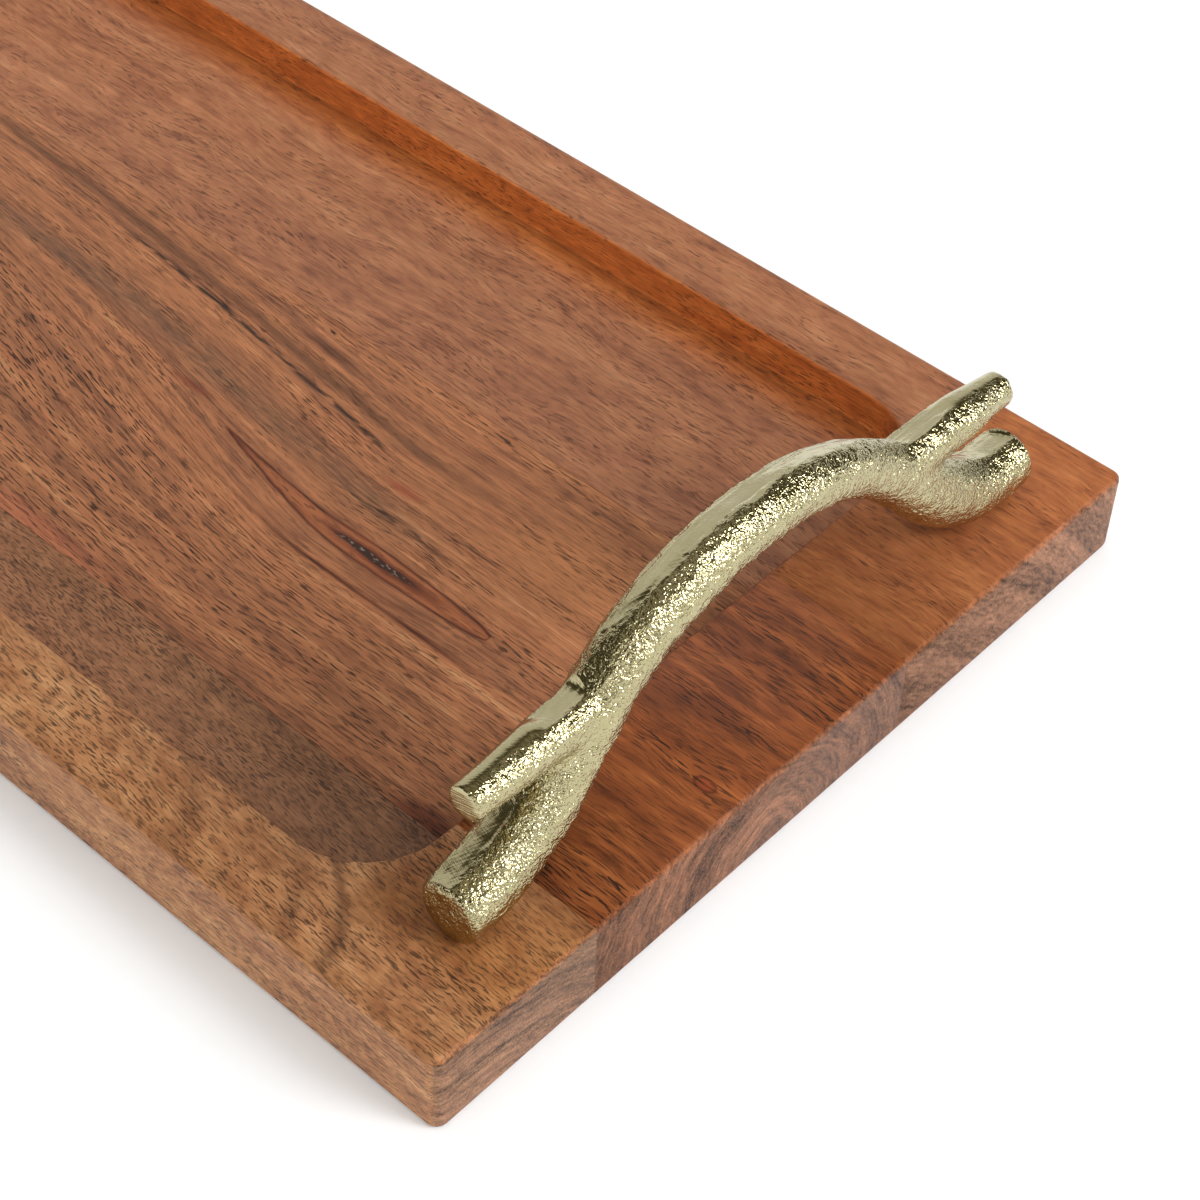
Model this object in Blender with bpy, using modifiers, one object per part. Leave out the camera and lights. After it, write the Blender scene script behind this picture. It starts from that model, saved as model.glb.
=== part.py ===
"""Wooden serving tray with a routed well and a cast brass twig handle at each end.

The board is glued up from three staves and stands on its flat underside.
Each handle is one casting, held by two machine screws from below.
Units are metres. +X runs along the board, +Z is up, and the origin is the
centre of the underside.
"""

import math

import bmesh
import bpy
from mathutils import Matrix, Vector

# Board
BOARD_LENGTH = 0.508
BOARD_WIDTH = 0.203
BOARD_THICKNESS = 0.020
CORNER_RADIUS = 0.0025
EDGE_RADIUS = 0.0012
GLUE_LINE = 0.0001
FRONT_JOINT_Y = -0.061
BACK_JOINT_Y = 0.028

# Well routed into the top of the board
WELL_DEPTH = 0.008
SIDE_RIM = 0.017
END_RIM = 0.034
WELL_CORNER_RADIUS = 0.018
WELL_DRAFT = 0.0008
FLOOR_FILLET = 0.0008
RIM_ROUNDING = 0.0010

# Handle, in its own frame: Y along the grip, Z up from the board's top
HANDLE_INSET = 0.0176
FOOT_GAP = 0.0003
# (y, z, radius) along the centre of the main branch, from foot to foot
MAIN_BRANCH = (
    (-0.0835, 0.0060, 0.0069),
    (-0.0720, 0.0085, 0.0074),
    (-0.0585, 0.0160, 0.0070),
    (-0.0510, 0.0235, 0.0065),
    (-0.0380, 0.0380, 0.0064),
    (-0.0200, 0.0465, 0.0065),
    (-0.0040, 0.0488, 0.0063),
    (0.0140, 0.0462, 0.0062),
    (0.0315, 0.0373, 0.0060),
    (0.0450, 0.0250, 0.0066),
    (0.0565, 0.0140, 0.0074),
    (0.0690, 0.0072, 0.0073),
    (0.0860, 0.0062, 0.0067),
)
FRONT_TWIG = (
    (-0.0430, 0.0330, 0.0054),
    (-0.0590, 0.0328, 0.0048),
    (-0.0800, 0.0326, 0.0038),
)
BACK_TWIG = (
    (0.0410, 0.0315, 0.0052),
    (0.0600, 0.0310, 0.0050),
    (0.0770, 0.0295, 0.0037),
)
# Where the ends are sawn off
FRONT_FOOT_END = -0.0808
BACK_FOOT_END = 0.0826
FRONT_TWIG_END = -0.0766
BACK_TWIG_END = 0.0748
CAST_VOXEL = 0.0011
CAST_SMOOTHING = 5
CAST_TRIANGLE_SHARE = 0.13

# Screws and washers under the handle feet
SCREW_YS = (-0.0735, 0.0755)
SHANK_RADIUS = 0.0025
SCREW_LENGTH = 0.020
HEAD_RADIUS = 0.00475
HEAD_HEIGHT = 0.0033
SOCKET_ACROSS_FLATS = 0.003
SOCKET_DEPTH = 0.0018
WASHER_RADIUS = 0.0058
WASHER_HOLE_RADIUS = 0.0028
WASHER_THICKNESS = 0.001
RUNNING_GAP = 0.0003
CLEARANCE_HOLE_RADIUS = 0.003
COUNTERBORE_RADIUS = 0.0065
COUNTERBORE_DEPTH = 0.006
TAPPED_HOLE_DEPTH = 0.0085

ROUND_SIDES = 24
OVERSHOOT = 0.005


def clear_scene():
    for obj in list(bpy.data.objects):
        bpy.data.objects.remove(obj, do_unlink=True)


def new_collection(name, hidden=False):
    collection = bpy.data.collections.new(name)
    collection.hide_render = hidden
    bpy.context.scene.collection.children.link(collection)
    return collection


def principled(name, colour, roughness, metallic):
    material = bpy.data.materials.new(name)
    material.use_nodes = True
    shader = material.node_tree.nodes["Principled BSDF"]
    shader.inputs["Base Color"].default_value = (*colour, 1.0)
    shader.inputs["Roughness"].default_value = roughness
    shader.inputs["Metallic"].default_value = metallic
    return material


def add_object(name, mesh, collection, material=None):
    obj = bpy.data.objects.new(name, mesh)
    collection.objects.link(obj)
    if material is not None:
        mesh.materials.clear()
        mesh.materials.append(material)
    return obj


def mesh_from_bmesh(name, shape):
    bmesh.ops.recalc_face_normals(shape, faces=shape.faces)
    mesh = bpy.data.meshes.new(name)
    shape.to_mesh(mesh)
    shape.free()
    return mesh


def box_mesh(name, low, high):
    low, high = Vector(low), Vector(high)
    shape = bmesh.new()
    bmesh.ops.create_cube(shape, size=1.0)
    bmesh.ops.scale(shape, vec=high - low, verts=shape.verts)
    bmesh.ops.translate(shape, vec=(low + high) / 2, verts=shape.verts)
    return mesh_from_bmesh(name, shape)


def cylinder_mesh(name, radius, low, high, centre=(0.0, 0.0), sides=ROUND_SIDES):
    """A closed cylinder about a vertical axis, between two heights."""
    shape = bmesh.new()
    place = Matrix.Translation((*centre, (low + high) / 2))
    bmesh.ops.create_cone(
        shape, cap_ends=True, segments=sides, radius1=radius, radius2=radius,
        depth=high - low, matrix=place,
    )
    return mesh_from_bmesh(name, shape)


def cutter(name, mesh, collection):
    obj = add_object(name, mesh, collection)
    obj.hide_render = True
    obj.display_type = "WIRE"
    return obj


def boolean(obj, other, operation):
    modifier = obj.modifiers.new(f"{operation.lower()}_{other.name}", "BOOLEAN")
    modifier.operation = operation
    modifier.solver = "EXACT"
    modifier.object = other


def bake(obj):
    """Put the evaluated shape of the object in its own mesh, and weld it."""
    graph = bpy.context.evaluated_depsgraph_get()
    baked = bpy.data.meshes.new_from_object(obj.evaluated_get(graph))
    shape = bmesh.new()
    shape.from_mesh(baked)
    bmesh.ops.remove_doubles(shape, verts=shape.verts, dist=1e-6)
    shape.to_mesh(baked)
    shape.free()
    obj.modifiers.clear()
    obj.data = baked


def rounded_outline(length, width, radius, steps):
    """Points round a rectangle with rounded corners, anticlockwise."""
    points = []
    for quarter, (sx, sy) in enumerate(((1, 1), (-1, 1), (-1, -1), (1, -1))):
        centre = Vector((sx * (length / 2 - radius), sy * (width / 2 - radius)))
        for step in range(steps + 1):
            angle = math.radians(90) * (quarter + step / steps)
            arm = Vector((math.cos(angle), math.sin(angle))) * radius
            points.append(centre + arm)
    return points


def well_sections():
    """(height, growth) of the well's outline, from its floor to above the rim."""
    top = BOARD_THICKNESS
    floor = top - WELL_DEPTH
    sections = []
    for degrees in (0, 45, 90):
        angle = math.radians(degrees)
        growth = -WELL_DRAFT - FLOOR_FILLET * (1 - math.sin(angle))
        sections.append((floor + FLOOR_FILLET * (1 - math.cos(angle)), growth))
    for degrees in (0, 30, 60, 90):
        angle = math.radians(degrees)
        growth = RIM_ROUNDING * (1 - math.cos(angle))
        sections.append((top - RIM_ROUNDING * (1 - math.sin(angle)), growth))
    sections.append((top + OVERSHOOT, RIM_ROUNDING))
    return sections


def well_mesh():
    """The routed-out volume, lofted through rounded rectangles of growing size."""
    length = BOARD_LENGTH - 2 * END_RIM - 2 * RIM_ROUNDING
    width = BOARD_WIDTH - 2 * SIDE_RIM - 2 * RIM_ROUNDING
    shape = bmesh.new()
    rings = []
    for height, growth in well_sections():
        outline = rounded_outline(
            length + 2 * growth, width + 2 * growth, WELL_CORNER_RADIUS + growth, 6
        )
        rings.append([shape.verts.new((p.x, p.y, height)) for p in outline])
    for lower, upper in zip(rings, rings[1:]):
        for i in range(len(lower)):
            j = (i + 1) % len(lower)
            shape.faces.new((lower[i], lower[j], upper[j], upper[i]))
    shape.faces.new(rings[0])
    shape.faces.new(rings[-1])
    return mesh_from_bmesh("well", shape)


def board_blank():
    """The glued-up panel with its rounded corners and edges, before routing."""
    shape = bmesh.new()
    bmesh.ops.create_cube(shape, size=1.0)
    size = Vector((BOARD_LENGTH, BOARD_WIDTH, BOARD_THICKNESS))
    bmesh.ops.scale(shape, vec=size, verts=shape.verts)
    bmesh.ops.translate(shape, vec=(0, 0, BOARD_THICKNESS / 2), verts=shape.verts)
    uprights = [e for e in shape.edges if abs(e.verts[0].co.z - e.verts[1].co.z) > 1e-6]
    bmesh.ops.bevel(
        shape, geom=uprights, offset=CORNER_RADIUS, segments=4, profile=0.5,
        affect="EDGES",
    )
    rims = [e for e in shape.edges if abs(e.verts[0].co.z - e.verts[1].co.z) < 1e-6]
    bmesh.ops.bevel(
        shape, geom=rims, offset=EDGE_RADIUS, segments=3, profile=0.5, affect="EDGES"
    )
    return mesh_from_bmesh("blank", shape)


def screw_places():
    """(name, x, y) of the four screws: two under each handle."""
    inset = BOARD_LENGTH / 2 - HANDLE_INSET
    places = []
    for side, turn in (("right", 1), ("left", -1)):
        for foot, y in zip(("front", "back"), sorted(turn * y for y in SCREW_YS)):
            places.append((f"{side}_{foot}", turn * inset, y))
    return places


def make_staves(parts, cutters, wood):
    half = BOARD_WIDTH / 2 + OVERSHOOT
    spans = (
        ("stave_front", -half, FRONT_JOINT_Y - GLUE_LINE / 2),
        ("stave_middle", FRONT_JOINT_Y + GLUE_LINE / 2, BACK_JOINT_Y - GLUE_LINE / 2),
        ("stave_back", BACK_JOINT_Y + GLUE_LINE / 2, half),
    )
    well = cutter("well_cutter", well_mesh(), cutters)
    length = BOARD_LENGTH / 2 + OVERSHOOT
    for name, low_y, high_y in spans:
        stave = add_object(name, board_blank(), parts, wood[name])
        stave.data.name = name
        slab = box_mesh(
            f"{name}_slab", (-length, low_y, -OVERSHOOT),
            (length, high_y, BOARD_THICKNESS + OVERSHOOT),
        )
        boolean(stave, cutter(f"{name}_slab", slab, cutters), "INTERSECT")
        boolean(stave, well, "DIFFERENCE")
        for place, x, y in screw_places():
            if low_y < y < high_y:
                cut_screw_hole(stave, place, (x, y), cutters)


def cut_screw_hole(stave, place, centre, cutters):
    bore = cylinder_mesh(
        f"bore_{place}", CLEARANCE_HOLE_RADIUS, -OVERSHOOT,
        BOARD_THICKNESS + OVERSHOOT, centre,
    )
    seat = cylinder_mesh(
        f"seat_{place}", COUNTERBORE_RADIUS, -OVERSHOOT, COUNTERBORE_DEPTH, centre
    )
    for mesh in (bore, seat):
        boolean(stave, cutter(mesh.name, mesh, cutters), "DIFFERENCE")


def branch_mesh(name, points):
    """A solid round limb whose radius follows its (y, z, radius) points."""
    curve = bpy.data.curves.new(name, "CURVE")
    curve.dimensions = "3D"
    curve.bevel_depth = 1.0
    curve.bevel_resolution = 6
    curve.use_fill_caps = True
    curve.resolution_u = 8
    spline = curve.splines.new("BEZIER")
    spline.radius_interpolation = "CARDINAL"
    spline.bezier_points.add(len(points) - 1)
    for knot, (y, z, radius) in zip(spline.bezier_points, points):
        knot.co = (0.0, y, z)
        knot.radius = radius
        knot.handle_left_type = knot.handle_right_type = "AUTO"
    limb = bpy.data.objects.new(name, curve)
    bpy.context.scene.collection.objects.link(limb)
    graph = bpy.context.evaluated_depsgraph_get()
    mesh = bpy.data.meshes.new_from_object(limb.evaluated_get(graph))
    bpy.data.objects.remove(limb, do_unlink=True)
    shape = bmesh.new()
    shape.from_mesh(mesh)
    bmesh.ops.remove_doubles(shape, verts=shape.verts, dist=1e-6)
    bmesh.ops.recalc_face_normals(shape, faces=shape.faces)
    shape.to_mesh(mesh)
    shape.free()
    mesh.name = name
    return mesh


def casting_mesh(cutters):
    """The handle as cast: limbs melted together, then sawn, faced and drilled."""
    casting = cutter("casting", branch_mesh("main_branch", MAIN_BRANCH), cutters)
    for name, points in (("front_twig", FRONT_TWIG), ("back_twig", BACK_TWIG)):
        boolean(casting, cutter(name, branch_mesh(name, points), cutters), "UNION")
    melt = casting.modifiers.new("melt", "REMESH")
    melt.mode = "VOXEL"
    melt.voxel_size = CAST_VOXEL
    blend = casting.modifiers.new("blend", "SMOOTH")
    blend.factor = 0.5
    blend.iterations = CAST_SMOOTHING
    thin = casting.modifiers.new("thin", "DECIMATE")
    thin.ratio = CAST_TRIANGLE_SHARE
    bake(casting)
    for mesh in saw_cuts():
        boolean(casting, cutter(mesh.name, mesh, cutters), "DIFFERENCE")
    for foot, y in zip(("front", "back"), SCREW_YS):
        hole = cylinder_mesh(
            f"tapped_{foot}", SHANK_RADIUS + RUNNING_GAP, -OVERSHOOT,
            TAPPED_HOLE_DEPTH, (0.0, y),
        )
        boolean(casting, cutter(hole.name, hole, cutters), "DIFFERENCE")
    bake(casting)
    return casting.data


def saw_cuts():
    """Boxes that take off the limbs' ends and face the feet flat."""
    wide = 0.012
    far = 0.11
    low = -0.02
    split = 0.020
    high = 0.060
    return (
        box_mesh("face_feet", (-wide, -far, low), (wide, far, 0.0)),
        box_mesh("saw_front_foot", (-wide, -far, low), (wide, FRONT_FOOT_END, split)),
        box_mesh("saw_back_foot", (-wide, BACK_FOOT_END, low), (wide, far, split)),
        box_mesh("saw_front_twig", (-wide, -far, split), (wide, FRONT_TWIG_END, high)),
        box_mesh("saw_back_twig", (-wide, BACK_TWIG_END, split), (wide, far, high)),
    )


def make_handles(parts, cutters, brass):
    casting = casting_mesh(cutters)
    casting.name = "handle"
    inset = BOARD_LENGTH / 2 - HANDLE_INSET
    for name, turn in (("handle_right", 1), ("handle_left", -1)):
        handle = add_object(name, casting, parts, brass)
        handle.location = (turn * inset, 0.0, BOARD_THICKNESS + FOOT_GAP)
        handle.rotation_euler = (0.0, 0.0, 0.0 if turn > 0 else math.pi)
        handle.data.shade_smooth()
        handle.data.set_sharp_from_angle(angle=math.radians(50))


def turned(name, profile, collection, material):
    """A turned piece from its (radius, height) profile, top to bottom."""
    mesh = bpy.data.meshes.new(name)
    shape = bmesh.new()
    verts = [shape.verts.new((radius, 0.0, height)) for radius, height in profile]
    for first, second in zip(verts, verts[1:]):
        shape.edges.new((first, second))
    shape.to_mesh(mesh)
    shape.free()
    piece = add_object(name, mesh, collection, material)
    spin = piece.modifiers.new("turn", "SCREW")
    spin.axis = "Z"
    spin.angle = math.tau
    spin.steps = ROUND_SIDES
    spin.render_steps = ROUND_SIDES
    spin.use_merge_vertices = True
    spin.merge_threshold = 1e-6
    return piece


def screw_profile():
    """Pan-head machine screw pointing up, with its head's seat at z = 0."""
    dome = HEAD_RADIUS * 0.75
    tip = SHANK_RADIUS * 0.6
    return (
        (0.0, SCREW_LENGTH),
        (tip, SCREW_LENGTH),
        (SHANK_RADIUS, SCREW_LENGTH - 0.001),
        (SHANK_RADIUS, 0.0),
        (HEAD_RADIUS, 0.0),
        (HEAD_RADIUS, -HEAD_HEIGHT * 0.6),
        (dome, -HEAD_HEIGHT),
        (0.0, -HEAD_HEIGHT),
    )


def washer_profile():
    bottom = -WASHER_THICKNESS
    return (
        (WASHER_HOLE_RADIUS, 0.0),
        (WASHER_RADIUS, 0.0),
        (WASHER_RADIUS, bottom),
        (WASHER_HOLE_RADIUS, bottom),
        (WASHER_HOLE_RADIUS, 0.0),
    )


def make_fasteners(parts, cutters, steel):
    washer_top = COUNTERBORE_DEPTH - RUNNING_GAP
    head_top = washer_top - WASHER_THICKNESS - RUNNING_GAP
    key = SOCKET_ACROSS_FLATS / math.sqrt(3)
    for place, x, y in screw_places():
        washer = turned(f"washer_{place}", washer_profile(), parts, steel)
        washer.location = (x, y, washer_top)
        screw = turned(f"screw_{place}", screw_profile(), parts, steel)
        screw.location = (x, y, head_top)
        foot = head_top - HEAD_HEIGHT
        socket = cylinder_mesh(
            f"socket_{place}", key, foot - OVERSHOOT, foot + SOCKET_DEPTH, (x, y), 6
        )
        boolean(screw, cutter(socket.name, socket, cutters), "DIFFERENCE")


def main():
    clear_scene()
    bpy.context.scene.unit_settings.scale_length = 1.0
    parts = new_collection("serving_tray")
    cutters = new_collection("cutters", hidden=True)
    wood = {
        "stave_front": principled("oiled_wood_light", (0.30, 0.15, 0.068), 0.45, 0.0),
        "stave_middle": principled("oiled_wood_dark", (0.25, 0.108, 0.05), 0.45, 0.0),
        "stave_back": principled("oiled_wood_pink", (0.33, 0.15, 0.08), 0.45, 0.0),
    }
    brass = principled("cast_brass", (0.74, 0.69, 0.45), 0.28, 1.0)
    steel = principled("zinc_plated_steel", (0.60, 0.60, 0.58), 0.35, 1.0)
    make_staves(parts, cutters, wood)
    make_handles(parts, cutters, brass)
    make_fasteners(parts, cutters, steel)


main()
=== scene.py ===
"""Looks of the wooden serving tray with cast brass twig handles.

Three staves of oiled acacia, each cut from its own log, and two brass castings,
filed where they face up and in towards the well and left as cast elsewhere.
Lengths in the shader sections (wood and metal) are in millimetres, but for the
depth of a relief. Everything else is in metres.
"""

import math

import bmesh
import bpy
import numpy as np
from mathutils import Matrix, Vector, noise


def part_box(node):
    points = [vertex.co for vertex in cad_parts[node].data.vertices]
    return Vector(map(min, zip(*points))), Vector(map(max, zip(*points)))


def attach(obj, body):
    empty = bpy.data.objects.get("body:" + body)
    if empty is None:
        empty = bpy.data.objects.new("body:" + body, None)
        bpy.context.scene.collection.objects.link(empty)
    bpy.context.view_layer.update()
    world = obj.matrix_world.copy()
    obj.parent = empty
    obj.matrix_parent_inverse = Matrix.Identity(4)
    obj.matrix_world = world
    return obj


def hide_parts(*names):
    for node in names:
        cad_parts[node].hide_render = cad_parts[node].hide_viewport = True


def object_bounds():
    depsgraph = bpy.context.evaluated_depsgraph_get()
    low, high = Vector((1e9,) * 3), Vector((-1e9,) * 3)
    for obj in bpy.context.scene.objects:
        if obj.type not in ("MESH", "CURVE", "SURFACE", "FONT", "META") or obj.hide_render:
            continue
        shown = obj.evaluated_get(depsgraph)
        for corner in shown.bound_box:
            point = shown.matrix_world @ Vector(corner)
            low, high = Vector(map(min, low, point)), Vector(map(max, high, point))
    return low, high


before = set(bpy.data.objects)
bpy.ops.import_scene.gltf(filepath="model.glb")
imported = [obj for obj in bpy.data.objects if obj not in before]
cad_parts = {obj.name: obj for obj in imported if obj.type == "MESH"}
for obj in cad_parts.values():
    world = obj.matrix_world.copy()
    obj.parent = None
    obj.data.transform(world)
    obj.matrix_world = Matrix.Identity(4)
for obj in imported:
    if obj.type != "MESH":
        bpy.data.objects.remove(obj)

MM = 0.001
CAD_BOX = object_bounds()
WHITE = (1.0, 1.0, 1.0)


# ---------------------------------------------------------------- shader sums


class Value:
    """A shader output that can be written in sums."""

    def __init__(self, graph, socket):
        self.graph = graph
        self.socket = socket

    def __add__(self, other):
        return self.graph.math("ADD", self, other)

    def __sub__(self, other):
        return self.graph.math("SUBTRACT", self, other)

    def __rsub__(self, other):
        return self.graph.math("SUBTRACT", other, self)

    def __mul__(self, other):
        return self.graph.math("MULTIPLY", self, other)

    def __truediv__(self, other):
        return self.graph.math("DIVIDE", self, other)

    def __pow__(self, other):
        return self.graph.math("POWER", self, other)

    __radd__ = __add__
    __rmul__ = __mul__

    def clamp(self):
        return self.graph.math("MINIMUM", self.graph.math("MAXIMUM", self, 0.0), 1.0)

    def at_least(self, other):
        return self.graph.math("MAXIMUM", self, other)

    def size(self):
        return self.graph.math("ABSOLUTE", self)


class Graph:
    """The nodes of one material, or of the world, built one value at a time."""

    def __init__(self, name, world=None):
        self.material = world or bpy.data.materials.new(name)
        self.material.use_nodes = True
        self.tree = self.material.node_tree
        self.shader = self.tree.nodes["Background" if world else "Principled BSDF"]

    def node(self, kind, **settings):
        made = self.tree.nodes.new(kind)
        for key, value in settings.items():
            setattr(made, key, value)
        return made

    def plug(self, socket, value):
        if isinstance(value, Value):
            self.tree.links.new(value.socket, socket)
        else:
            socket.default_value = value

    def math(self, operation, *values):
        node = self.node("ShaderNodeMath", operation=operation)
        for socket, value in zip(node.inputs, values):
            self.plug(socket, value)
        return Value(self, node.outputs[0])

    def split(self, socket):
        node = self.node("ShaderNodeSeparateXYZ")
        self.tree.links.new(socket, node.inputs[0])
        return [Value(self, output) for output in node.outputs]

    def place(self):
        """x, y and z of the shaded point in the object's frame, in millimetres."""
        found = self.node("ShaderNodeTexCoord").outputs["Object"]
        return [axis * (1 / MM) for axis in self.split(found)]

    def normal(self):
        return self.split(self.node("ShaderNodeNewGeometry").outputs["Normal"])

    def painted(self, name):
        """A number painted on the mesh."""
        node = self.node("ShaderNodeAttribute", attribute_name=name)
        return Value(self, node.outputs["Fac"])

    def join(self, x, y, z):
        node = self.node("ShaderNodeCombineXYZ")
        for socket, value in zip(node.inputs, (x, y, z)):
            self.plug(socket, value)
        return Value(self, node.outputs[0])

    def noise(self, x, y, z, detail=2.0, rough=0.5, seed=0.0):
        """Smooth noise around 0, mostly within -0.25 and 0.25, one lump per unit."""
        node = self.node("ShaderNodeTexNoise", noise_dimensions="4D")
        self.plug(node.inputs["Vector"], self.join(x, y, z))
        node.inputs["W"].default_value = seed
        node.inputs["Scale"].default_value = 1.0
        node.inputs["Detail"].default_value = detail
        node.inputs["Roughness"].default_value = rough
        return Value(self, node.outputs["Fac"]) - 0.5

    def ease(self, value, low, high):
        """0 below low and 1 above high, or the other way round if low is the larger."""
        node = self.node("ShaderNodeMapRange", interpolation_type="SMOOTHSTEP")
        self.plug(node.inputs["Value"], value)
        falls = low > high
        node.inputs["From Min"].default_value = min(low, high)
        node.inputs["From Max"].default_value = max(low, high)
        node.inputs["To Min"].default_value = 1.0 if falls else 0.0
        node.inputs["To Max"].default_value = 0.0 if falls else 1.0
        return Value(self, node.outputs["Result"])

    def bell(self, value, centre, reach):
        """1 at the centre, falling off as a bell curve that wide."""
        off = (value - centre) / reach
        return self.math("EXPONENT", off * off * -1.0)

    def mix_value(self, share, first, second):
        return first + (second - first) * share

    def ramp(self, value, stops):
        """Colours along a value, from (place, colour) stops."""
        node = self.node("ShaderNodeValToRGB")
        self.plug(node.inputs["Fac"], value)
        ramp = node.color_ramp
        while len(ramp.elements) < len(stops):
            ramp.elements.new(0.5)
        for element, (place, colour) in zip(ramp.elements, stops):
            element.position = place
            element.color = (*colour, 1.0)
        return Value(self, node.outputs["Color"])

    def mix(self, share, first, second, blend="MIX"):
        node = self.node("ShaderNodeMix", data_type="RGBA", blend_type=blend)
        self.plug(node.inputs["Factor"], share)
        for socket, colour in ((node.inputs[6], first), (node.inputs[7], second)):
            self.plug(socket, colour if isinstance(colour, Value) else (*colour, 1.0))
        return Value(self, node.outputs[2])

    def tint(self, share, colour, tint, strength=1.0):
        """The colour, multiplied by a tint over that share of it."""
        return self.mix(share, colour, self.mix(strength, colour, tint, "MULTIPLY"))

    def scale_colour(self, colour, amount):
        node = self.node("ShaderNodeVectorMath", operation="SCALE")
        self.plug(node.inputs[0], colour)
        self.plug(node.inputs["Scale"], amount)
        return Value(self, node.outputs[0])

    def relief(self, height, depth):
        """Bump from a height of 0 to 1 that stands for depth in metres."""
        node = self.node("ShaderNodeBump")
        self.plug(node.inputs["Height"], height)
        node.inputs["Distance"].default_value = depth
        node.inputs["Strength"].default_value = 1.0
        self.tree.links.new(node.outputs["Normal"], self.shader.inputs["Normal"])


def srgb(red, green, blue):
    """Linear colour from the 0 to 255 values a screen shows."""
    def linear(value):
        value /= 255
        return value / 12.92 if value <= 0.04045 else ((value + 0.055) / 1.055) ** 2.4
    return tuple(linear(value) for value in (red, green, blue))


# ----------------------------------------------------------------------- wood

# The board, in millimetres. The middle stave runs from end to end and has the top's
# height, and the back stave has the board's back edge.
HALF_LENGTH = round(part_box("stave_middle")[1][0] / MM, 1)
HALF_WIDTH = round(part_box("stave_back")[1][1] / MM, 1)
BOARD_TOP = round(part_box("stave_middle")[1][2] / MM, 1)
WELL_FLOOR = 12.0
WELL_END = HALF_LENGTH - 34.0
WELL_SIDE = HALF_WIDTH - 17.0

# Where the middle of the log that each stave was cut from runs, as y and z.
FRONT_PITH = (-99.0, -54.0)
MIDDLE_PITH = (-13.0, -1.0)
BACK_PITH = (-60.0, -120.0)

# Tints, multiplied into the colours under them.
OIL = (0.875, 0.85, 0.82)
ORANGE = (1.12, 0.90, 0.62)
# Painted orange bounce light, by the well's back wall.
GLOW = (0.98, 0.67, 0.34)
# A painted reflection of the brass foot, warm and darker, on the front stave's end rim.
FOOT_REFLECTION_TINT = (0.86, 0.76, 0.60)
# A painted highlight along the rounded edges at the tray's ends.
EDGE_HIGHLIGHT = (1.35, 1.0, 0.62)

PORE = srgb(46, 32, 26)
PALE_PORE = srgb(74, 48, 40)
END_GRAIN = srgb(150, 115, 94)
FIBRE_WIDTH = 0.42
WOOD_ROUGHNESS = 0.46
WOOD_SHINE = 0.28
WOOD_RELIEF = 0.15 * MM


def log_radius(y, z, pith, wander, tilt=0.0):
    """Distance from the middle of a stave's log, whose rings wander and tilt a little."""
    off_y = y - pith[0]
    off_z = z - pith[1] + tilt
    return (off_y * off_y + off_z * off_z) ** 0.5 + wander


def oval(x, y, at_x, at_y, reach_x, reach_y):
    """0 in the middle of an oval, 1 on its outline and more outside it."""
    return ((x - at_x) / reach_x) ** 2.0 + ((y - at_y) / reach_y) ** 2.0


def flecks(graph, x, across, depth, length, width, seed, low, high):
    """Short dark dashes along the grain, dots where it is cut across."""
    spread = graph.noise(x / length, across / width, depth / width, 1.0, 0.45, seed)
    return graph.ease(spread, low, high)


def end_share(graph):
    """1 on faces cut across the grain, 0 on the others."""
    return graph.ease(graph.normal()[0].size(), 0.30, 0.70)


def well_share(graph, x, y, z):
    """1 on the floor of the well, 0 up on the rims and on the outside."""
    deep = graph.ease(z, BOARD_TOP - 1.5, WELL_FLOOR + 1.0)
    inside_x = graph.ease(x.size(), WELL_END, WELL_END - 1.5)
    inside_y = graph.ease(y.size(), WELL_SIDE + 0.5, WELL_SIDE - 0.9)
    return deep * (inside_x * inside_y)


def painted_side_light(graph, y):
    """1 on the outside of the tray's long sides, which get painted light from the front."""
    outside = graph.ease(y.size(), HALF_WIDTH - 2.5, HALF_WIDTH - 0.5)
    return graph.ease(graph.normal()[1].size(), 0.5, 0.9) * outside


def end_rim(graph, x):
    """1 on top of the wide rims at the tray's two ends, 0 elsewhere."""
    rim = graph.ease(x.size(), WELL_END - 8.0, WELL_END + 4.0)
    return rim * graph.ease(graph.normal()[2], 0.2, 0.7)


def end_grain(graph, colour, place, radius):
    """The greyer look of a sawn end: open pores, and the log's rings as arcs."""
    x, y, z = place
    speckle = graph.noise(x / 3, y / 0.5, z / 0.5, 2.0, 0.6, 5.0)
    years = graph.noise(radius / 3.2, y / 60, z / 60, 2.0, 0.6, 6.0)
    fine_rings = graph.noise(radius / 0.8, y / 3.5, z / 3.5, 1.0, 0.5, 7.0)
    grey = graph.mix(0.55, colour, END_GRAIN)
    return graph.scale_colour(grey, 0.76 + speckle * 1.6 + years * 1.6 + fine_rings * 1.4)


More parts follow.
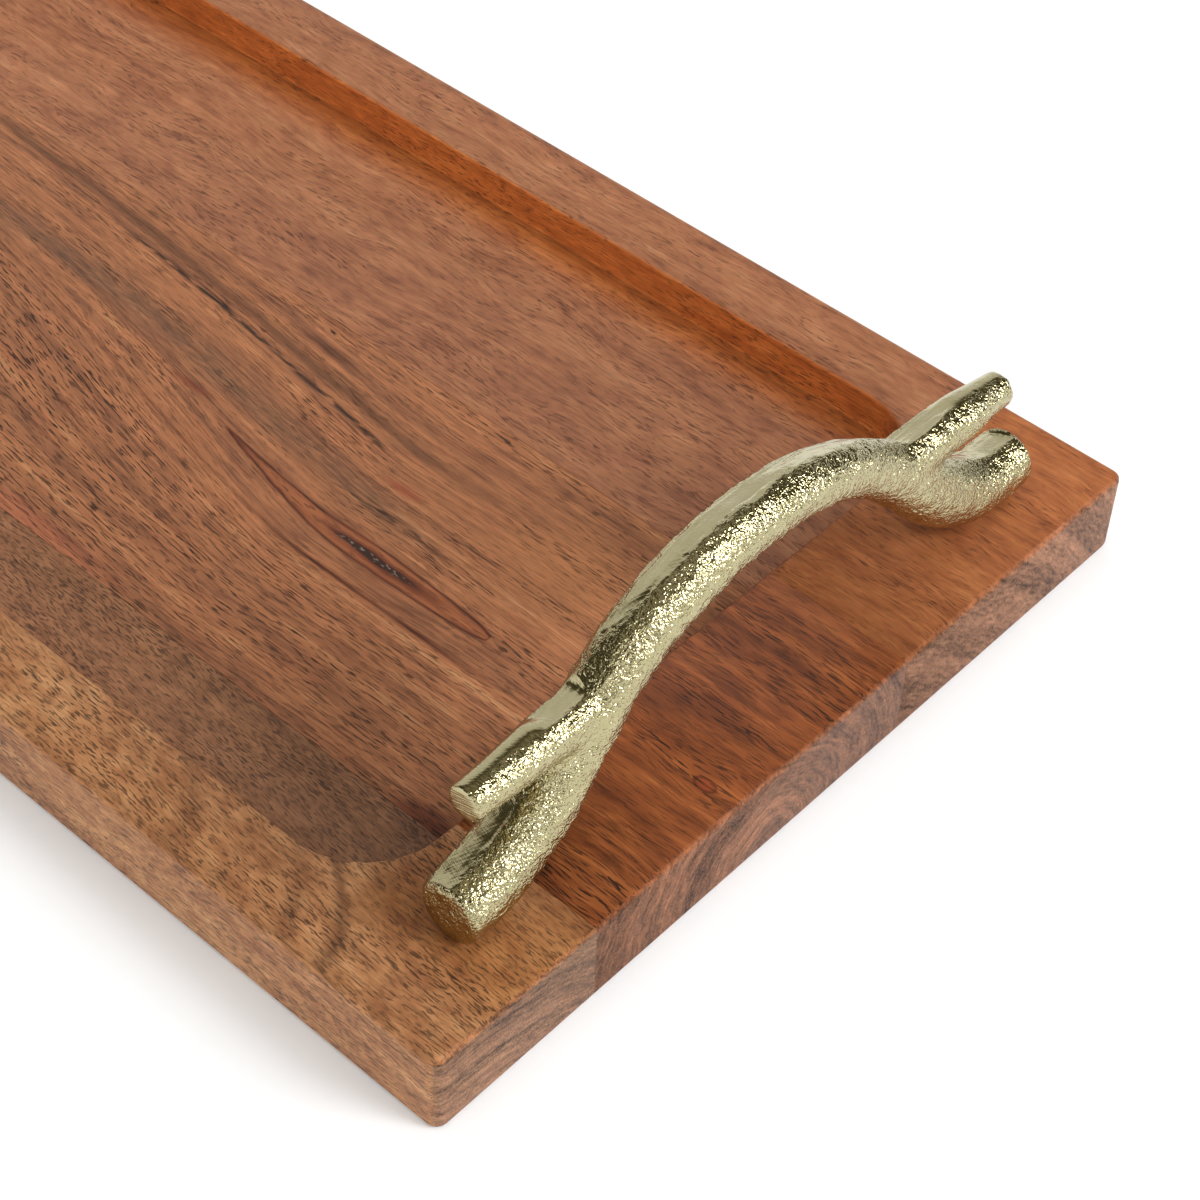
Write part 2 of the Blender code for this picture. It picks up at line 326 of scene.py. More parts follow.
def finish_wood_with_painted_light(graph, colour, pits, place, across, radius):
    """The oiled, satin surface: fibres, end grain, gloss and relief, with painted light on the long
    sides and a painted highlight along the rounded edges at the ends.
    """
    x, y, z = place
    colour = graph.mix(1.0, colour, OIL, "MULTIPLY")
    fibre = graph.noise(x / 9, across / FIBRE_WIDTH, z / FIBRE_WIDTH, 2.0, 0.6, 3.0)
    # Painted light: the long sides are made lighter, for the light that reaches them from the front.
    colour = graph.scale_colour(colour, 1.0 + fibre * 1.05 + painted_side_light(graph, y) * 0.52)
    ends = end_share(graph)
    colour = graph.mix(ends, colour, end_grain(graph, colour, place, radius))
    # Painted highlight: a warmer, lighter band along the rounded edges at the ends.
    edge_highlight = ends * graph.ease(graph.normal()[2], 0.15, 0.45)
    colour = graph.tint(edge_highlight * 0.8, colour, EDGE_HIGHLIGHT)
    graph.plug(graph.shader.inputs["Base Color"], colour)
    rough = WOOD_ROUGHNESS + fibre * 0.25 + ends * 0.14
    graph.plug(graph.shader.inputs["Roughness"], rough)
    graph.shader.inputs["Specular IOR Level"].default_value = WOOD_SHINE
    graph.relief(fibre * 0.5 - pits, WOOD_RELIEF)
    return graph.material


# ----------------------------------------------------------- wood: front stave

FRONT_STRAIGHT_X = 180.0
FRONT_DARK_RING = srgb(92, 58, 40)
# Painted shade, laid on the well floor towards the +X end.
FRONT_PAINTED_SHADE = srgb(102, 76, 54)
FRONT_DARK_RINGS = (
    # radius, reach, darkness
    (79.8, 0.24, 0.6),
    (78.4, 0.3, 0.35),
    (74.6, 0.35, 0.3),
)
FRONT_RIM_COLOURS = (
    (0.22, srgb(140, 90, 60)), (0.45, srgb(166, 114, 76)),
    (0.60, srgb(182, 130, 88)), (0.80, srgb(198, 148, 104)),
)
FRONT_FLOOR_COLOURS = (
    (0.22, srgb(120, 79, 53)), (0.50, srgb(154, 105, 72)), (0.80, srgb(178, 126, 88)),
)


def front_wood():
    """Light golden stave with dense short flecks and a few dark rings across its top."""
    graph = Graph("acacia_front")
    x, y, z = place = graph.place()
    bend = graph.noise(x / 55, y / 25, z / 25, 1.0, 0.5, 11.0)
    across = y + bend * 7.0 + (x - FRONT_STRAIGHT_X) * 0.06
    tilt = (x - FRONT_STRAIGHT_X) * 0.13
    radius = log_radius(y, z, FRONT_PITH, bend * 1.2, tilt)
    broad = graph.noise(x / 120, radius / 6, 0.0, 2.0, 0.5, 12.0)
    mottle = graph.noise(x / 5, across / 3, z / 3, 2.0, 0.6, 14.0)
    tone = 0.53 + broad * 0.9 + mottle * 0.9
    deep = well_share(graph, x, y, z)
    colour = graph.mix(
        deep, graph.ramp(tone, FRONT_RIM_COLOURS), graph.ramp(tone, FRONT_FLOOR_COLOURS)
    )
    # Painted shade: the well floor darkens towards the +X end, shaded by the end wall and the handle.
    shade_towards_end = graph.ease(x, 130.0, 235.0)
    colour = graph.mix(shade_towards_end * deep * 0.36, colour, FRONT_PAINTED_SHADE)
    for ring, reach, dark in FRONT_DARK_RINGS:
        line = graph.bell(radius + mottle * 0.3, ring, reach)
        colour = graph.mix(line * dark, colour, FRONT_DARK_RING)
    # Painted reflection: the end rim beside and under the handle's front foot is tinted a warmer,
    # darker brown, as the brass foot reflects in it.
    foot_reflection = end_rim(graph, x) * graph.ease(y, -94.0, -80.0)
    colour = graph.tint(foot_reflection, colour, FOOT_REFLECTION_TINT)
    small = flecks(graph, x, across, z, 2.0, 0.28, 15.0, 0.05, 0.12)
    large = flecks(graph, x, across, z, 3.2, 0.40, 16.0, 0.12, 0.16)
    crowd = graph.ease(graph.noise(x / 26, across / 9, z / 9, 1.0, 0.5, 17.0), -0.16, 0.14)
    pits = (small * (0.35 + crowd * 0.45)).at_least(large * 0.7)
    colour = graph.mix(pits, colour, PORE)
    return finish_wood_with_painted_light(graph, colour, pits, place, across, radius)


# ---------------------------------------------------------- wood: middle stave

MIDDLE_FLOOR_COLOURS = (
    (0.15, srgb(90, 60, 46)), (0.34, srgb(136, 90, 65)), (0.52, srgb(166, 111, 78)),
    (0.68, srgb(183, 122, 84)), (0.90, srgb(200, 146, 104)),
)
MIDDLE_RIM_COLOURS = (
    (0.16, srgb(62, 36, 24)), (0.36, srgb(118, 64, 36)), (0.56, srgb(156, 88, 48)),
    (0.84, srgb(200, 122, 68)),
)
THREAD = srgb(136, 68, 44)
DARK_STREAK = srgb(46, 38, 34)

# The lens of gum in the well floor: its widest place, how far it reaches from
# there along x, and half its width.
LENS_X = 148.0
LENS_Y = -18.3
LENS_LEFT = 45.5
LENS_RIGHT = 38.5
LENS_HALF = 2.95

# The small knot in the end rim, and half its length and width.
KNOT_X = 246.0
KNOT_Y = -22.7
KNOT_LENGTH = 2.1
KNOT_WIDTH = 1.25

BLOTS = (
    # x, y, reach along x, reach along y, colour, darkness
    (144.5, 0.0, 5.0, 1.1, srgb(148, 68, 50), 0.6),
    (88.0, -8.4, 6.5, 1.0, srgb(128, 62, 44), 0.6),
    (96.0, -59.5, 22.0, 3.2, srgb(172, 100, 76), 0.5),
    (211.0, -60.5, 9.0, 4.2, srgb(88, 40, 28), 0.8),
    (188.0, 6.0, 20.0, 12.0, srgb(206, 140, 92), 0.4),
)


def middle_flow(graph, x, y):
    """The line of grain through a point, named by its y near the +X end.

    Also gives how far that line is off the lens, and the same with the lines
    pushed apart around the lens.
    """
    back = ((140.0 - x) / 150.0).at_least(0.0)
    sweep = (graph.math("TANH", back) * 1.9) ** 1.25 * 17.0
    share = graph.bell(y, -10.0, 32.0) * 0.7 + 0.25
    line = y - sweep * share
    off = line - LENS_Y
    swell = graph.bell(x, 146.0, 42.0) * graph.bell(off, 0.0, 10.0)
    return line, off, off * (1.0 - swell * 0.55)


def gum_lens(graph, colour, x, off):
    """The long reddish eye in the well floor, with its streak of dried gum."""
    left = ((LENS_X - x) / LENS_LEFT).at_least(0.0)
    right = ((x - LENS_X) / LENS_RIGHT).at_least(0.0)
    body = (1.0 - left).at_least(0.0) * ((1.0 - right * right).at_least(0.0) ** 0.4)
    half = body * LENS_HALF
    inside = graph.ease(half - off.size(), -0.25, 0.4)
    colour = graph.mix(inside * 0.55, colour, srgb(168, 98, 62))
    tip = inside * graph.ease(x, 122.0, 108.0)
    colour = graph.mix(tip * 0.75, colour, srgb(104, 54, 38))
    wobble = graph.noise(x / 6, off / 2, 0.0, 1.0, 0.5, 61.0)
    present = graph.ease(body, 0.0, 0.06)
    outline = graph.bell(off.size() - half + wobble * 0.5, 0.0, 0.36) * present
    colour = graph.mix(outline * 0.9, colour, srgb(80, 38, 28))
    core = oval(x, off, 156.0, 0.0, 19.5, 1.9)
    colour = graph.mix(graph.ease(core + wobble, 1.2, 0.3) * 0.75, colour, srgb(98, 50, 36))
    gum = oval(x, off, 154.5, 0.0, 13.0, 0.95)
    colour = graph.mix(graph.ease(gum + wobble * 1.5, 1.2, 0.5) * 0.9, colour, srgb(50, 38, 34))
    specks = graph.noise(x / 1.4, off / 0.5, 0.0, 1.0, 0.5, 62.0)
    grey = graph.ease(gum, 0.8, 0.3) * graph.ease(specks, 0.04, 0.16)
    return graph.mix(grey * 0.7, colour, srgb(158, 140, 128))


def middle_figures(graph, colour, x, y, line, off):
    """The streaks and bands that stand out on the well floor."""
    wobble = graph.noise(x / 18, y / 5, 0.0, 2.0, 0.5, 63.0)
    broken = graph.noise(x / 5.5, y / 0.7, 0.0, 1.0, 0.5, 64.0)
    band = graph.bell(line + wobble * 3.0, 10.3, 1.9) * graph.ease(x, 175.0, 130.0)
    colour = graph.mix(band * 0.75, colour, srgb(94, 64, 47))
    grey_y = 1.5 - (x - 60.0).at_least(0.0) * 0.102
    grey = graph.bell(y - grey_y + wobble * 4.0, 0.0, 3.6) * graph.ease(x, 172.0, 140.0)
    colour = graph.mix(grey * (0.55 + broken * 1.2), colour, srgb(92, 74, 60))
    eye = graph.bell(x, 153.0, 15.0) * graph.bell(y + wobble * 1.5, -7.9, 1.1)
    colour = graph.mix(eye * graph.ease(broken, -0.1, 0.06) * 0.9, colour, srgb(50, 40, 34))
    streak = graph.bell(line + wobble * 1.6, 5.5, 0.75) * graph.ease(x, 136.0, 128.0)
    streak = streak * graph.ease(x, 30.0, 50.0) * graph.ease(broken, -0.16, 0.02)
    colour = graph.mix(streak * 0.95, colour, DARK_STREAK)
    contour = graph.bell(line + wobble * 0.8, -27.2, 0.5) * graph.ease(x, 204.0, 180.0)
    strong = graph.bell(x, 148.0, 13.0) + graph.bell(x, 176.0, 9.0)
    colour = graph.mix(contour * (0.50 + strong * 0.5).clamp(), colour, srgb(84, 42, 30))
    for at_x, at_y, reach_x, reach_y, tone, dark in BLOTS:
        blot = graph.bell(oval(x, y, at_x, at_y, reach_x, reach_y), 0.0, 1.0)
        colour = graph.mix(blot * dark, colour, tone)
    return gum_lens(graph, colour, x, off)


def knot_pull(graph, x, y):
    """How far the grain of the end rim is pushed aside by the small knot in it."""
    near = graph.bell(x, KNOT_X, 7.0) * graph.bell(y, KNOT_Y, 6.0)
    return (y - KNOT_Y) * near * -0.55


def knot(graph, colour, x, y, z):
    """The small red knot in the end rim."""
    place = oval(x, y, KNOT_X, KNOT_Y, KNOT_LENGTH, KNOT_WIDTH)
    top = graph.ease(z, BOARD_TOP - 2.0, BOARD_TOP - 0.5)
    ring = graph.bell(place, 1.25, 0.5) * top
    colour = graph.mix(graph.ease(place, 1.2, 0.8) * top * 0.8, colour, srgb(150, 72, 42))
    return graph.mix(ring * 0.7, colour, srgb(82, 40, 26))


def middle_wood():
    """Dark figured stave, sawn close to the pith."""
    graph = Graph("acacia_middle")
    x, y, z = place = graph.place()
    line, off, across = middle_flow(graph, x, y)
    wander = graph.noise(x / 70, y / 14, z / 14, 1.0, 0.5, 20.0) * 5.0
    radius = log_radius(y, z, MIDDLE_PITH, wander)
    low = well_share(graph, x, y, z)
    rings = graph.mix_value(low, radius, across + wander * 0.3)
    wave = graph.noise(x / 20, y / 10, z / 30, 1.0, 0.5, 29.0) * 5.0
    across = across + (wave + knot_pull(graph, x, y)) * (1.0 - low)
    broad = graph.noise(x / 260, rings / 4.5, 0.0, 2.0, 0.6, 22.0)
    streaks = graph.noise(x / 42, rings / 0.9, z / 4, 3.0, 0.65, 23.0)
    mottle = graph.noise(x / 11, across / 4, z / 4, 2.0, 0.5, 24.0)
    stripes = broad * 1.1 + streaks * (0.40 + low * 0.35) + mottle * 0.6
    rim_tone = graph.bell(y, -48.0, 22.0) * 0.05 - graph.bell(y, 2.0, 22.0) * 0.05
    tone = stripes + low * 0.04 + (1.0 - low) * rim_tone + 0.53
    colour = graph.mix(
        low, graph.ramp(tone, MIDDLE_RIM_COLOURS), graph.ramp(tone, MIDDLE_FLOOR_COLOURS)
    )
    # Painted shade: the well floor is darkened towards its front, and more so towards the +X end.
    shade = graph.ease(line, -28.0, -44.0) * (0.12 + graph.ease(x, 150.0, 205.0) * 0.2)
    colour = graph.scale_colour(colour, 1.0 - shade * low)
    figured = middle_figures(graph, colour, x, y, line, off)
    colour = graph.mix(low * graph.ease(x, -60.0, 0.0), colour, figured)
    thread = graph.noise(x / 22, across / 0.4, z / 0.4, 2.0, 0.6, 28.0)
    colour = graph.mix(graph.ease(thread, 0.02, 0.2) * 0.5, colour, THREAD)
    colour = knot(graph, colour, x, y, z)
    small = flecks(graph, x, across, z, 4.0, 0.30, 25.0, 0.07, 0.13)
    large = flecks(graph, x, across, z, 8.5, 0.50, 26.0, 0.12, 0.16)
    patches = graph.noise(x / 45, across / 6, z / 6, 1.0, 0.5, 27.0)
    busy_floor = graph.ease(line + patches * 20.0, -26.0, -34.0) * low
    busy = busy_floor + graph.ease(z, 14.0, 18.0) * 0.35
    crowd = (graph.ease(patches, -0.1, 0.2) + busy * 0.45).clamp()
    pits = (small * (0.28 + crowd * 0.62)).at_least(large * crowd * 0.8)
    colour = graph.mix(pits, colour, PORE)
    return finish_wood_with_painted_light(graph, colour, pits, place, across, radius)


# ------------------------------------------------------------ wood: back stave

BACK_COLOURS = (
    (0.18, srgb(130, 82, 60)), (0.45, srgb(164, 108, 78)), (0.62, srgb(176, 119, 85)),
    (0.88, srgb(192, 138, 102)),
)


def back_wall(graph, x, y, z):
    """Masks for the painted light: 1 on the well's back wall, and 1 on that wall and the floor at its
    foot.
    """
    inside_y = graph.ease(y, 90.0, 86.0)
    inside = inside_y * graph.ease(x.size(), WELL_END + 1.0, WELL_END - 1.0)
    facing = graph.ease(graph.normal()[1], -0.3, -0.8)
    above = graph.ease(z, WELL_FLOOR, WELL_FLOOR + 0.6)
    wall = facing * graph.ease(y, 79.0, 81.0) * above
    wall = wall * inside
    foot = graph.ease(y, 70.0, 81.0) * graph.ease(z, WELL_FLOOR + 2.0, WELL_FLOOR + 0.5) * inside
    return wall, foot.at_least(wall)


def back_wood():
    """Plain pinkish stave with fine, curly flecks, orange on the rim, and painted orange bounce light
    on the well's back wall and the floor at its foot.
    """
    graph = Graph("acacia_back")
    x, y, z = place = graph.place()
    curl = graph.noise(x / 34, y / 14, z / 14, 1.0, 0.5, 31.0)
    across = y + curl * 7.0
    radius = log_radius(y, z, BACK_PITH, curl * 3.0)
    broad = graph.noise(x / 200, radius / 7, 0.0, 2.0, 0.5, 32.0)
    fine = graph.noise(x / 40, across / 1.2, z / 4, 2.0, 0.6, 33.0)
    mottle = graph.noise(x / 8, across / 2.6, z / 2.6, 2.0, 0.6, 34.0)
    tone = 0.52 + broad * 0.6 + fine * 0.5 + mottle * 1.0
    colour = graph.ramp(tone, BACK_COLOURS)
    colour = graph.tint(end_rim(graph, x), colour, ORANGE, 0.85)
    wall, glow = back_wall(graph, x, y, z)
    # Painted bounce light: an orange glow on the back wall and the floor at its foot.
    colour = graph.tint(glow, colour, GLOW)
    # Painted light: the back wall is made lighter.
    colour = graph.scale_colour(colour, 1.0 + wall * 0.95)
    small = flecks(graph, x, across, z, 2.8, 0.34, 35.0, 0.08, 0.15)
    crowd = graph.ease(graph.noise(x / 30, across / 9, z / 9, 1.0, 0.5, 37.0), -0.18, 0.16)
    pits = small * (0.2 + crowd * 0.45)
    colour = graph.mix(pits, colour, PALE_PORE)
    return finish_wood_with_painted_light(graph, colour, pits, place, across, radius)


# ---------------------------------------------------------------------- metal

BRASS_DARK = srgb(185, 175, 133)
BRASS_LIGHT = srgb(203, 193, 151)
BRASS_ROUGHNESS = 0.08
BRASS_RELIEF = 0.6 * MM
SAND = 0.62
GRIT = 0.30
STEEL_DARK = srgb(176, 176, 172)
STEEL_LIGHT = srgb(206, 206, 202)


def file_marks(graph, x, y, z):
    """Strokes of the file: crossed on the filed side, nearly level on the sawn twig ends."""
    slant = (x + z) * 0.35
    strokes = graph.noise(x / 2.6, (y + slant) / 0.42, z / 2.6, 2.0, 0.6, 43.0)
    crossed = graph.noise(x / 3.0, (y - slant * 1.6) / 0.55, z / 3.0, 1.0, 0.5, 44.0)
    across_end = graph.noise(x / 4.0, y / 4.0, (z - x * 0.3) / 0.40, 2.0, 0.6, 46.0)
    sawn = graph.ease(graph.normal()[1].size(), 0.82, 0.92) * graph.ease(z, 38.0, 42.0)
    return graph.mix_value(sawn, strokes * 0.22 + crossed * 0.14, across_end * 0.3)


def brass():
    """Pale cast brass: sparkling grain, with file strokes where the casting was dressed."""
    graph = Graph("cast_brass")
    x, y, z = graph.place()
    filed = graph.painted("filed")
    raw = 1.0 - filed
    coarse = graph.noise(x / SAND, y / SAND, z / SAND, 1.0, 0.5, 41.0)
    grit = graph.noise(x / GRIT, y / GRIT, z / GRIT, 0.0, 0.5, 42.0)
    marks = file_marks(graph, x, y, z)
    height = (coarse * 0.56 + grit * 0.17) * raw + marks * 0.6 * filed
    graph.shader.inputs["Metallic"].default_value = 1.0
    tarnish = graph.noise(x / 2.2, y / 2.2, z / 2.2, 2.0, 0.6, 45.0)
    colour = graph.mix((tarnish * 1.6 + 0.5).clamp(), BRASS_DARK, BRASS_LIGHT)
    graph.plug(graph.shader.inputs["Base Color"], colour)
    rough = BRASS_ROUGHNESS + filed * 0.09 + tarnish * 0.04
    graph.plug(graph.shader.inputs["Roughness"], rough)
    graph.relief(height, BRASS_RELIEF)
    return graph.material


def steel():
    """Zinc-plated steel with faint marks, for the screws and washers underneath."""
    graph = Graph("zinc_steel")
    x, y, z = graph.place()
    turned = graph.noise(x / 0.3, y / 0.3, z / 2.0, detail=2.0, seed=51.0)
    graph.shader.inputs["Metallic"].default_value = 1.0
    colour = graph.mix(turned + 0.5, STEEL_DARK, STEEL_LIGHT)
    graph.plug(graph.shader.inputs["Base Color"], colour)
    graph.plug(graph.shader.inputs["Roughness"], 0.34 + turned * 0.2)
    graph.relief(turned, 0.05 * MM)
    return graph.material


# --------------------------------------------------------------------- pieces

WELD = 1e-6
SHARP_ANGLE = math.radians(40)


def copied(node, name):
    """A welded copy of a CAD node's mesh, as a new object."""
    shape = bmesh.new()
    shape.from_mesh(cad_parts[node].data)
    bmesh.ops.remove_doubles(shape, verts=shape.verts, dist=WELD)
    mesh = bpy.data.meshes.new(name)
    shape.to_mesh(mesh)
    shape.free()
    piece = bpy.data.objects.new(name, mesh)
    bpy.context.scene.collection.objects.link(piece)
    return piece


def coat(piece, material):
    piece.data.materials.clear()
    piece.data.materials.append(material)


def settle(piece, node, material):
    """Gives a piece its material, hangs it under the root body and hides the CAD node it stands for.
    """
    coat(piece, material)
    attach(piece, "root")
    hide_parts(node)


def make_staves():
    for part, material in (("front", front_wood()), ("middle", middle_wood()), ("back", back_wood())):
        piece = copied(f"stave_{part}", f"{part}_stave")
        piece.data.shade_smooth()
        piece.data.set_sharp_from_angle(angle=SHARP_ANGLE)
        settle(piece, f"stave_{part}", material)


# -------------------------------------------------------------------- casting

VOXEL = 0.39 * MM
SMOOTHING_ROUNDS = 14
LIMB_RADIUS = 6.2 * MM
FOOT_RADIUS = 6.9 * MM
FOOT_ROUNDING = 1.5 * MM

# The stubs of the side twigs: beyond this y, and this high above the feet's underside.
TWIG_START = 57 * MM
TWIG_RISE = 22 * MM

# The casting was filed where it faces this way, to about that many degrees round, and
# the file went this share of the way from round to flat.
FILED_SIDE = Vector((-0.42, 0.0, 0.91))
FILED_REACH = 38.0
DEEPEST_CUT = 1.8 * MM
CUT_SHARE = 0.85

# How squarely a twig's surface faces along y where its sawn end starts and is full.
SAWN_FACING = (0.86, 0.94)

# Sizes of the lumps that the sand left.
BIG_LUMP = 9 * MM
MIDDLE_LUMP = 2.6 * MM
SMALL_LUMP = 0.95 * MM


def lumps(points, size, seed):
    """Noise of -1 to 1 at each point, with lumps of one size."""
    shift = Vector((seed * 17.3, seed * 5.1, seed * 9.7))
    return np.array([noise.noise(Vector(point) / size + shift) for point in points])


def smooth_step(value, low, high):
    share = np.clip((value - low) / (high - low), 0.0, 1.0)
    return share * share * (3.0 - 2.0 * share)


def round_feet(points, low, high):
    """Rounds off the edge where each foot of the main branch ends."""
    centre = (low[0] + high[0]) / 2
    axis = low[2] + FOOT_RADIUS - 0.5 * MM
    aside = points[:, 0] - centre
    above = points[:, 2] - axis
    radial = np.maximum(np.hypot(aside, above), 0.1 * MM)
    front = points[:, 1] < 0.0
    depth = np.where(front, points[:, 1] - low[1], high[1] - points[:, 1])
    past_depth = np.maximum(FOOT_ROUNDING - depth, 0.0)
    past_side = np.maximum(FOOT_ROUNDING - (FOOT_RADIUS - radial), 0.0)
    reach = np.maximum(np.hypot(past_depth, past_side), 1e-9)
    corner = (past_depth > 0.0) & (past_side > 0.0) & (reach > FOOT_ROUNDING)
    corner = corner & (above < 2 * FOOT_RADIUS)
    share = np.where(corner, FOOT_ROUNDING / reach, 1.0)
    shrink = np.where(corner, (FOOT_RADIUS - FOOT_ROUNDING + past_side * share) / radial, 1.0)
    depth = np.where(corner, FOOT_ROUNDING - past_depth * share, depth)
    rounded_y = np.where(front, low[1] + depth, high[1] - depth)
    return np.stack((centre + aside * shrink, rounded_y, axis + above * shrink), axis=1)


def read_vertices(mesh, name):
    """Each vertex's place or normal, as rows of an array."""
    values = np.empty(len(mesh.vertices) * 3)
    mesh.vertices.foreach_get(name, values)
    return values.reshape(-1, 3)


def dress_casting(mesh):
    """Files the side that faces up and in and the twigs' ends, and leaves the rest as cast."""
    low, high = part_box("handle_right")
    points = read_vertices(mesh, "co")
    normals = read_vertices(mesh, "normal")
    big = lumps(points, BIG_LUMP, 1)
    middle = lumps(points, MIDDLE_LUMP, 2)
    small = lumps(points, SMALL_LUMP, 3)
    turned = np.clip(normals @ np.array(FILED_SIDE.normalized()), -1.0, 1.0)
    reach = np.radians(FILED_REACH + 10.0 * big)
    angle = np.arccos(turned)
    ragged = np.radians(11.0 * middle + 5.0 * small)
    filed = smooth_step(reach + ragged - angle, np.radians(-1.0), np.radians(4.0))
    twig = smooth_step(np.abs(points[:, 1]), TWIG_START - 3 * MM, TWIG_START + 3 * MM)
    twig = twig * smooth_step(points[:, 2] - low[2], TWIG_RISE - 2 * MM, TWIG_RISE + 2 * MM)
    sawn = smooth_step(np.abs(normals[:, 1]), *SAWN_FACING) * twig
    filed = np.maximum(filed, sawn)
    cut = LIMB_RADIUS * (np.cos(reach) / np.maximum(turned, 0.2) - 1.0)
    cut = np.where(angle < reach, np.maximum(cut, -DEEPEST_CUT), 0.0)
    cut = cut * (CUT_SHARE - CUT_SHARE * twig)
    grain = (0.20 * middle + 0.16 * small) * MM * (1.0 - filed)
    grain = grain + 0.28 * MM * big * (1.0 - 0.6 * filed)
    points = round_feet(points + normals * (cut + grain)[:, None], low, high)
    mesh.vertices.foreach_set("co", points.ravel())
    mesh.attributes.new("filed", "FLOAT", "POINT").data.foreach_set("value", filed)
    mesh.update()


def fine_casting():
    """The right handle, with its mesh remade fine and even."""
    piece = copied("handle_right", "right_handle")
    remesh = piece.modifiers.new("fine", "REMESH")
    remesh.mode = "VOXEL"
    remesh.voxel_size = VOXEL
    smooth = piece.modifiers.new("smooth", "SMOOTH")
    smooth.factor = 0.5
    smooth.iterations = SMOOTHING_ROUNDS
    graph = bpy.context.evaluated_depsgraph_get()
    mesh = bpy.data.meshes.new_from_object(piece.evaluated_get(graph))
    piece.modifiers.clear()
    piece.data = mesh
    dress_casting(mesh)
    return piece


def make_handles():
    """Both handles: the same casting, turned half round for the left end."""
    material = brass()
    piece = fine_casting()
    piece.data.shade_smooth()
    twin = bpy.data.objects.new("left_handle", piece.data.copy())
    bpy.context.scene.collection.objects.link(twin)
    twin.data.transform(Matrix.Rotation(math.pi, 4, "Z"))
    settle(piece, "handle_right", material)
    settle(twin, "handle_left", material)


def dress_fasteners():
    """The screws and washers stay CAD pieces and only get a material."""
    material = steel()
    for name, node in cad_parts.items():
        if name.startswith(("screw_", "washer_")):
            coat(node, material)


# ---------------------------------------------------------------------- stage

FLOOR_HALF = 6.0
FLOOR_GAP = 0.2 * MM
FLOOR_PAINT = (0.82, 0.84, 0.86)
FLOOR_GLOW = 0.17
FLOOR_ROUGHNESS = 0.9

STUDIO_BASE = 0.07
STUDIO_WARM = (1.0, 0.88, 0.60)
STUDIO_WARM_UP_TO = 0.10
STUDIO_WHITE_FROM = 0.60
STUDIO_BOXES = (
    # towards the box, brightness added, where it starts and where it is full (cosines)
    ((0.93, 0.16, 0.25), 0.48, 0.64, 0.95),
    ((0.76, 0.34, 0.56), 14.0, 0.962, 0.985),
    ((-0.80, 0.58, 0.10), 0.65, 0.70, 0.88),
    ((0.58, -0.69, 0.48), 1.60, 0.92, 0.985),
    ((0.05, -0.05, 1.0), 0.26, 0.76, 0.98),
)

# The lamp shines away from the way its back faces.
LAMP_SIZE = 2.6
LAMP_POWER = 25.0
LAMP_PLACE = (0.25, -0.25, 2.0)
LAMP_BACK = (0.08, -0.12, 1.0)


def make_floor():
    """A white floor that glows a little, just under the tray."""
    shape = bmesh.new()
    bmesh.ops.create_grid(shape, x_segments=1, y_segments=1, size=FLOOR_HALF)
    mesh = bpy.data.meshes.new("floor")
    shape.to_mesh(mesh)
    shape.free()
    floor = bpy.data.objects.new("floor", mesh)
    floor.location.z = CAD_BOX[0][2] - FLOOR_GAP
    bpy.context.scene.collection.objects.link(floor)
    graph = Graph("floor_white")
    graph.shader.inputs["Base Color"].default_value = (*FLOOR_PAINT, 1.0)
    graph.shader.inputs["Emission Color"].default_value = (*WHITE, 1.0)
    graph.shader.inputs["Emission Strength"].default_value = FLOOR_GLOW
    graph.shader.inputs["Roughness"].default_value = FLOOR_ROUGHNESS
    graph.shader.inputs["Specular IOR Level"].default_value = 0.0
    mesh.materials.append(graph.material)


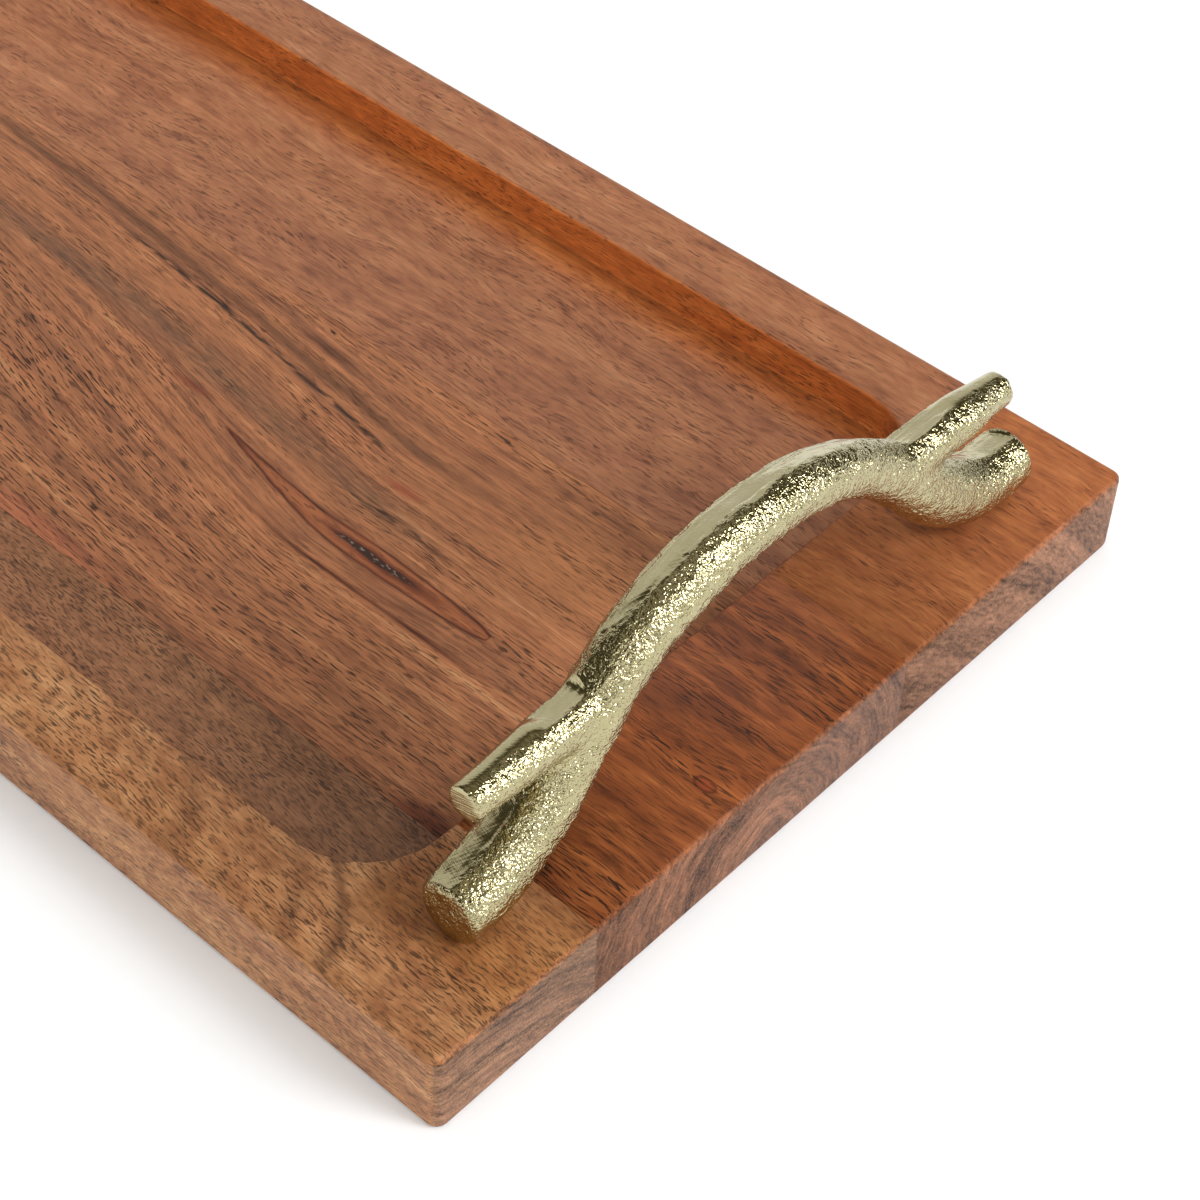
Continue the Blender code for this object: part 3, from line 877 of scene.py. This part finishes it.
def make_world():
    """A dim, warm studio with soft boxes around it, and plain white behind for the camera."""
    world = bpy.data.worlds.new("studio")
    bpy.context.scene.world = world
    graph = Graph("studio", world)
    x, y, z = graph.split(graph.node("ShaderNodeTexCoord").outputs["Generated"])
    level = STUDIO_BASE
    for towards, bright, start, full in STUDIO_BOXES:
        side = Vector(towards).normalized()
        facing = x * side.x + y * side.y + z * side.z
        level = graph.ease(facing, start, full) * bright + level
    lit = graph.ease(level, STUDIO_WARM_UP_TO, STUDIO_WHITE_FROM)
    colour = graph.mix(lit, STUDIO_WARM, WHITE)
    backdrop = Value(graph, graph.node("ShaderNodeLightPath").outputs["Is Camera Ray"])
    graph.plug(graph.shader.inputs["Strength"], graph.mix_value(backdrop, level, 1.0))
    graph.plug(graph.shader.inputs["Color"], graph.mix(backdrop, colour, WHITE))


def make_lights():
    """One wide soft light overhead. It lights the wood without showing in the brass."""
    data = bpy.data.lights.new("overhead", "AREA")
    data.shape = "SQUARE"
    data.size = LAMP_SIZE
    data.energy = LAMP_POWER
    lamp = bpy.data.objects.new("overhead", data)
    lamp.location = LAMP_PLACE
    lamp.rotation_euler = Vector(LAMP_BACK).to_track_quat("Z", "Y").to_euler()
    lamp.visible_glossy = False
    bpy.context.scene.collection.objects.link(lamp)


CAMERA_AZIMUTH = 40.366
CAMERA_ELEVATION = 45.869
CAMERA_ROLL = 2.606
CAMERA_LENS = 82.85
CAMERA_SENSOR = 36.0

# Where the camera sees the foot of the +X end: right, up and away, in board widths.
END_ASIDE = 0.196723
END_ABOVE = -0.198337
END_AWAY = 2.624376


def make_camera():
    """Looks down at the +X end from the front, a little rolled."""
    low, high = CAD_BOX
    width = high[1] - low[1]
    turn, rise = math.radians(CAMERA_AZIMUTH), math.radians(CAMERA_ELEVATION)
    back = Vector((
        math.sin(turn) * math.cos(rise), -math.cos(turn) * math.cos(rise), math.sin(rise)
    ))
    right = Vector((0, 0, 1)).cross(back).normalized()
    up = back.cross(right)
    roll = math.radians(CAMERA_ROLL)
    tilted = right * math.cos(roll) + up * math.sin(roll)
    upright = up * math.cos(roll) - right * math.sin(roll)
    end = Vector((high[0], 0.0, low[2]))
    place = end + (back * END_AWAY - tilted * END_ASIDE - upright * END_ABOVE) * width
    data = bpy.data.cameras.new("camera")
    data.lens = CAMERA_LENS
    data.sensor_width = CAMERA_SENSOR
    camera = bpy.data.objects.new("camera", data)
    camera.matrix_world = Matrix((
        (tilted.x, upright.x, back.x, place.x),
        (tilted.y, upright.y, back.y, place.y),
        (tilted.z, upright.z, back.z, place.z),
        (0, 0, 0, 1),
    ))
    bpy.context.scene.collection.objects.link(camera)
    bpy.context.scene.camera = camera


make_camera()
make_world()
make_lights()
make_floor()
make_staves()
make_handles()
dress_fasteners()
bpy.context.scene.view_settings.view_transform = "Standard"
